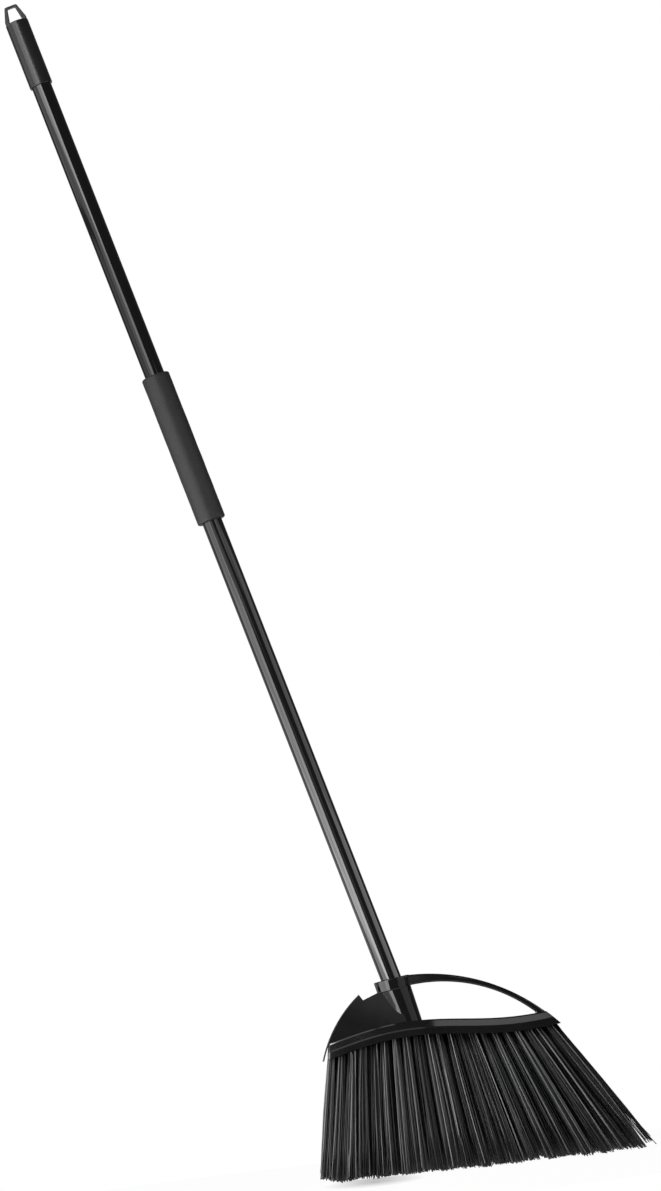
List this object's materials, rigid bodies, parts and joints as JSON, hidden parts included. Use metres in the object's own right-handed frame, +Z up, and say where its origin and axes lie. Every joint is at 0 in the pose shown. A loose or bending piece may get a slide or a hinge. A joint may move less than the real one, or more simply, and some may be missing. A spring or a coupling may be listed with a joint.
{
  "type": "angle broom",
  "caption": "Angle broom with a fan of stiff bristles in an arched, slanted plastic head, on a screwed-in steel tube handle with a foam grip and a hang-up cap.",
  "frame": {"origin": "on the floor, under the middle of the standing broom's box", "axes": "+Z up from the trimmed bristle tips, +X along the head towards its long low end, +Y from the front to the back"},
  "size_m": [0.5722, 0.0616, 1.3211],
  "materials": {
    "head_plastic": "glossy moulded black",
    "carrier_plastic": "plain moulded black, hidden in the head",
    "bristle_fibre": "satin charcoal drawn fibre",
    "tube_coating": "smooth glossy black coating on steel",
    "ferrule_plastic": "plain moulded black",
    "grip_foam": "matte charcoal closed-cell foam",
    "cap_plastic": "satin moulded black"
  },
  "bodies": {
    "head": {"head_shell": "head_plastic", "bristle_carrier": "carrier_plastic", "bristle_column_01": "bristle_fibre", "bristle_column_02": "bristle_fibre", "bristle_column_03": "bristle_fibre", "bristle_column_04": "bristle_fibre", "bristle_column_05": "bristle_fibre", "bristle_column_06": "bristle_fibre", "bristle_column_07": "bristle_fibre", "bristle_column_08": "bristle_fibre", "bristle_column_09": "bristle_fibre", "bristle_column_10": "bristle_fibre", "bristle_column_11": "bristle_fibre", "bristle_column_12": "bristle_fibre", "bristle_column_13": "bristle_fibre", "bristle_column_14": "bristle_fibre", "bristle_column_15": "bristle_fibre", "bristle_column_16": "bristle_fibre", "bristle_column_17": "bristle_fibre", "bristle_column_18": "bristle_fibre", "bristle_column_19": "bristle_fibre", "bristle_column_20": "bristle_fibre", "bristle_column_21": "bristle_fibre"},
    "cap": {"hang_cap": "cap_plastic"},
    "handle": {"handle_tube": "tube_coating", "threaded_ferrule": "ferrule_plastic", "foam_grip": "grip_foam"}
  },
  "joints": [
    {"name": "handle_rise", "type": "slide", "parent": "head", "child": "cap", "axis": [-0.2605, 0, 0.9655], "range_m": [0, 0.0254]},
    {"name": "handle_turn", "type": "hinge", "parent": "cap", "child": "handle", "pos_m": [0.02, 0, 0.21], "axis": [-0.2605, 0, 0.9655], "range_deg": [0, 1800]}
  ],
  "couplings": [
    {"joint": "handle_turn", "follows": "handle_rise", "rad_per_m": 1236.8}
  ]
}
